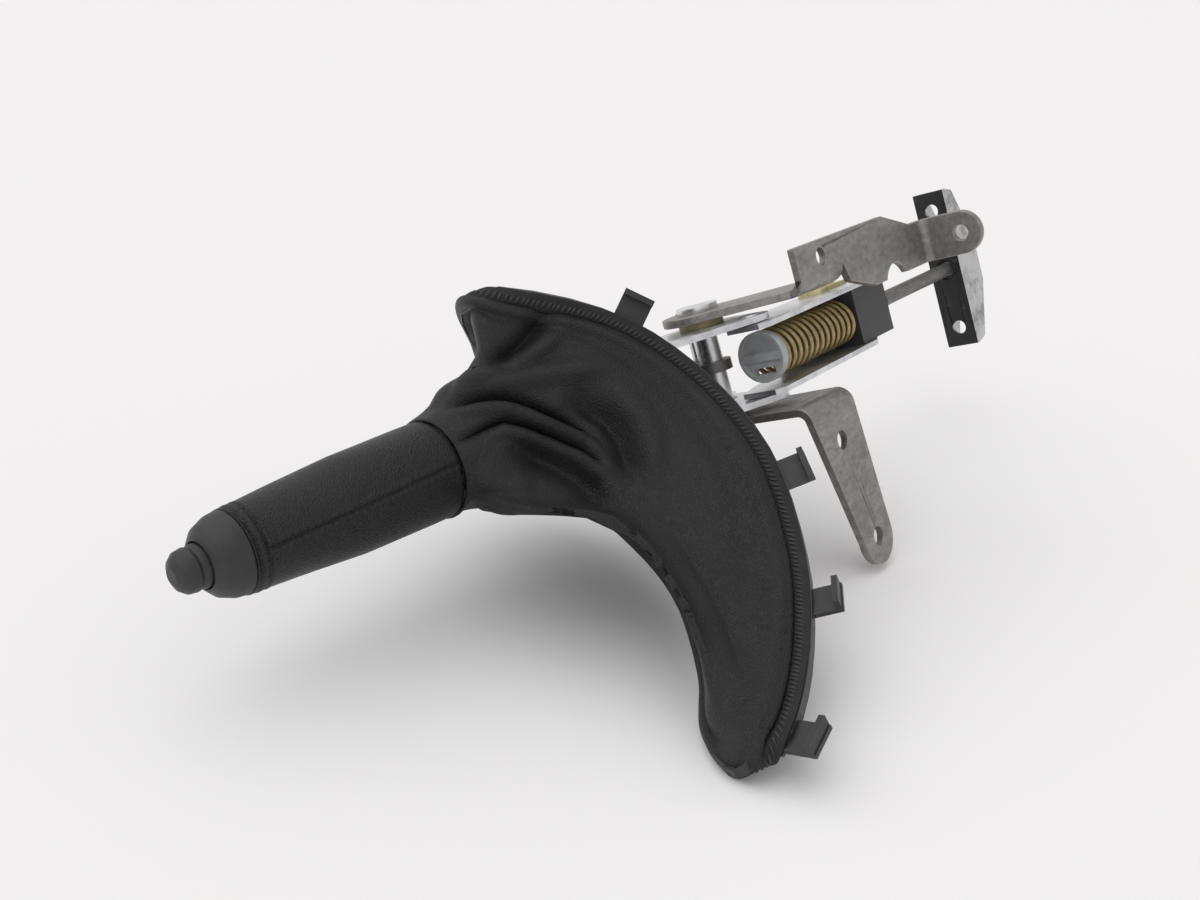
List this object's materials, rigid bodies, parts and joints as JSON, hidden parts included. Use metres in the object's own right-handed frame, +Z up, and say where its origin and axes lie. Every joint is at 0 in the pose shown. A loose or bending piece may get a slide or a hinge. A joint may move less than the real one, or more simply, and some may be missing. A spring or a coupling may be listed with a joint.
{
  "type": "parking brake lever",
  "caption": "Hand parking brake lever with leather grip and boot, release button, ratchet, bolt-down bracket, sprung cable adjuster and cable equaliser.",
  "frame": {"origin": "centre of the right foot's inner bolt hole, halfway through the plate", "axes": "+X forward along the lever towards the grip, +Z up from the surface that the lever lies on its right side on, +Y completes the frame"},
  "size_m": [0.5107, 0.254, 0.1497],
  "materials": {
    "steel_bracket": "bare pickled steel, matt grey with handling marks",
    "zinc_plate": "bright zinc plate, slightly mottled",
    "dark_steel": "dark phosphated steel",
    "spring_wire": "yellow passivated spring wire",
    "black_plastic": "moulded black plastic, fine texture",
    "leather": "black grained leather, semi-matt",
    "nylon": "greased natural nylon",
    "black_steel": "black coated steel"
  },
  "bodies": {
    "bracket": {"bracket_right": "steel_bracket", "bracket_left": "steel_bracket", "pivot_pin": "zinc_plate", "stop_pin": "zinc_plate", "ratchet_sector": "dark_steel", "boot_frame": "black_plastic", "boot": "leather"},
    "lever": {"lever_tube": "dark_steel", "lever_cheeks": "zinc_plate", "pivot_bushes": "nylon", "cheek_rivets": "zinc_plate", "grip_core": "black_plastic", "grip_sleeve": "leather", "grip_collar": "black_plastic", "spring_seat": "black_plastic", "pawl_pin": "zinc_plate"},
    "button": {"release_button": "black_plastic", "button_rod": "zinc_plate", "button_spring": "spring_wire"},
    "pawl": {"pawl": "dark_steel"},
    "pull_link": {"link_channel": "zinc_plate", "adjuster_block": "black_plastic", "guide_shoe": "nylon", "adjuster_spring": "spring_wire"},
    "rod": {"spring_cap": "zinc_plate", "pull_rod": "dark_steel", "rod_nut": "zinc_plate"},
    "equaliser": {"equaliser": "black_steel"}
  },
  "joints": [
    {"name": "lever_pivot", "type": "hinge", "parent": "bracket", "child": "lever", "pos_m": [0.004, -0.06825, 0.02379], "axis": [0, 0.342, -0.9397], "range_deg": [0, 32], "deforming": ["boot"]},
    {"name": "button_press", "type": "slide", "parent": "lever", "child": "button", "axis": [-0.994, 0.1031, 0.0375], "range_m": [0, 0.006], "stiffness_N_per_m": 400, "deforming": ["button_spring"]},
    {"name": "pawl_lift", "type": "hinge", "parent": "lever", "child": "pawl", "pos_m": [0.05423, -0.0955, 0.01387], "axis": [0, -0.342, 0.9397], "range_deg": [0, 18]},
    {"name": "link_swivel", "type": "hinge", "parent": "lever", "child": "pull_link", "pos_m": [0.004, -0.04194, 0.03337], "axis": [0, 0.342, -0.9397], "range_deg": [-32, 0]},
    {"name": "adjuster_slide", "type": "slide", "parent": "pull_link", "child": "rod", "axis": [1, 0, 0], "range_m": [-0.012, 0.008], "deforming": ["adjuster_spring"]},
    {"name": "equaliser_swivel", "type": "hinge", "parent": "rod", "child": "equaliser", "pos_m": [-0.21705, -0.04194, 0.03337], "axis": [0, -0.9397, -0.342], "range_deg": [-8, 8]}
  ],
  "couplings": [
    {"joint": "link_swivel", "follows": "lever_pivot", "ratio": -1},
    {"joint": "pawl_lift", "follows": "button_press", "rad_per_m": 50}
  ]
}
